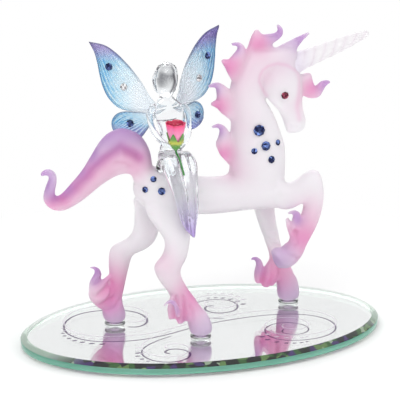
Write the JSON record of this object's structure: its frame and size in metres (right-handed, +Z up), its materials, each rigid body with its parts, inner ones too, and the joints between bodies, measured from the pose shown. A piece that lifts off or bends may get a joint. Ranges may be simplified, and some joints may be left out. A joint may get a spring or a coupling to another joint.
{
  "type": "unicorn figurine",
  "caption": "Frosted glass unicorn with a small clear glass fairy on its back, standing on an oval bevelled mirror base.",
  "frame": {"origin": "middle of the felt's underside, under the middle of the oval base", "axes": "+Z up; +X along the base's length, the way the unicorn faces; -Y the side that the fairy faces"},
  "size_m": [0.1524, 0.1016, 0.1267],
  "materials": {
    "felt": "short-pile black felt",
    "disc_glass": "clear glass",
    "ruby_crystal": "faceted crystal, red",
    "fairy_glass": "clear polished glass, violet toward the feet",
    "wing_glass": "clear polished glass, blue with violet tips",
    "lilac_glass": "frosted glass, lilac",
    "frosted_glass": "milky frosted glass",
    "pink_glass": "frosted glass, pink with purple tips",
    "mirror_glass": "clear float glass with a green edge and a polished bevel",
    "silvering": "polished silvering",
    "sapphire_crystal": "faceted crystal, dark blue",
    "leaf_glass": "glossy green glass",
    "rose_glass": "glossy pink glass",
    "ink": "thin glossy lilac print",
    "horn_glass": "satin twisted glass",
    "clear_crystal": "faceted crystal, clear"
  },
  "bodies": {
    "root": {"base_felt": "felt", "disc_far_fore": "disc_glass", "disc_far_hind": "disc_glass", "disc_near_hind": "disc_glass", "eye_crystal_far": "ruby_crystal", "eye_crystal_near": "ruby_crystal", "fairy_body": "fairy_glass", "fairy_hair": "fairy_glass", "fairy_head": "fairy_glass", "fairy_left_arm": "fairy_glass", "fairy_left_leg": "fairy_glass", "fairy_lower_wing_left": "wing_glass", "fairy_lower_wing_right": "wing_glass", "fairy_right_arm": "fairy_glass", "fairy_right_leg": "fairy_glass", "fairy_upper_wing_left": "wing_glass", "fairy_upper_wing_right": "wing_glass", "far_fore_hoof": "lilac_glass", "far_fore_leg": "frosted_glass", "far_fore_tuft": "pink_glass", "far_hind_hoof": "lilac_glass", "far_hind_leg": "frosted_glass", "far_hind_tuft": "pink_glass", "forelock": "pink_glass", "mane_crown_lock": "pink_glass", "mane_high_lock": "pink_glass", "mane_low_lock": "pink_glass", "mane_middle_lock": "pink_glass", "mane_spike": "pink_glass", "mirror_glass": "mirror_glass", "mirror_silvering": "silvering", "near_fore_hoof": "lilac_glass", "near_fore_leg": "frosted_glass", "near_fore_tuft": "pink_glass", "near_hind_hoof": "lilac_glass", "near_hind_leg": "frosted_glass", "near_hind_tuft": "pink_glass", "neck_crystals": "sapphire_crystal", "rose_calyx": "leaf_glass", "rose_heart": "rose_glass", "rose_inner_petals": "rose_glass", "rose_outer_petals": "rose_glass", "rose_stem": "leaf_glass", "rump_crystals": "sapphire_crystal", "scroll_dots": "ink", "scroll_lines": "ink", "unicorn_head": "frosted_glass", "unicorn_horn": "horn_glass", "unicorn_neck": "frosted_glass", "unicorn_poll": "frosted_glass", "unicorn_tail": "pink_glass", "unicorn_torso": "frosted_glass", "wing_crystals_blue": "sapphire_crystal", "wing_crystals_clear": "clear_crystal"}
  },
  "joints": []
}
